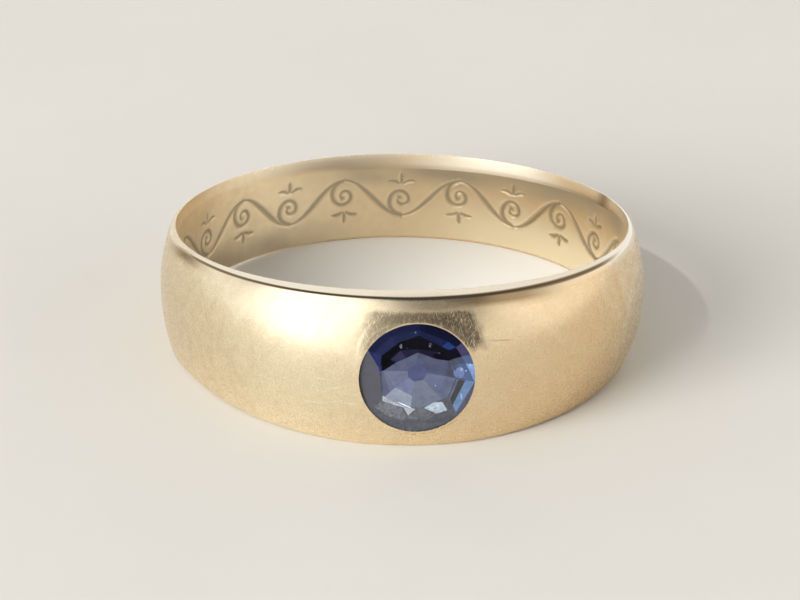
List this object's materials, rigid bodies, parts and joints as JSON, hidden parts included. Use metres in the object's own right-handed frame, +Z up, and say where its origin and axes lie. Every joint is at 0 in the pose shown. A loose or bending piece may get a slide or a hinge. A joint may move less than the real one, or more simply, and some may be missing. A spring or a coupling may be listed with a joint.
{
  "type": "sapphire band ring",
  "caption": "Tapering domed gold band ring with a round faceted sapphire set flush in its wide front, lying on its side.",
  "frame": {"origin": "on the ground under the middle of the ring's bounding box, with the ring lying on its side as it rests by itself", "axes": "+Z up, away from the ground and close to the finger hole's axis, which leans back 3.8 degrees; -Y towards the stone's side; +X to the right as the stone is looked at"},
  "size_m": [0.0206, 0.0216, 0.0066],
  "materials": {
    "gold": "satin-worn pale yellow gold, about 14 carat, with fine scratches",
    "sapphire": "polished blue sapphire, faceted, lightly worn on the lower facets"
  },
  "bodies": {
    "root": {"band": "gold", "sapphire": "sapphire"}
  },
  "joints": []
}
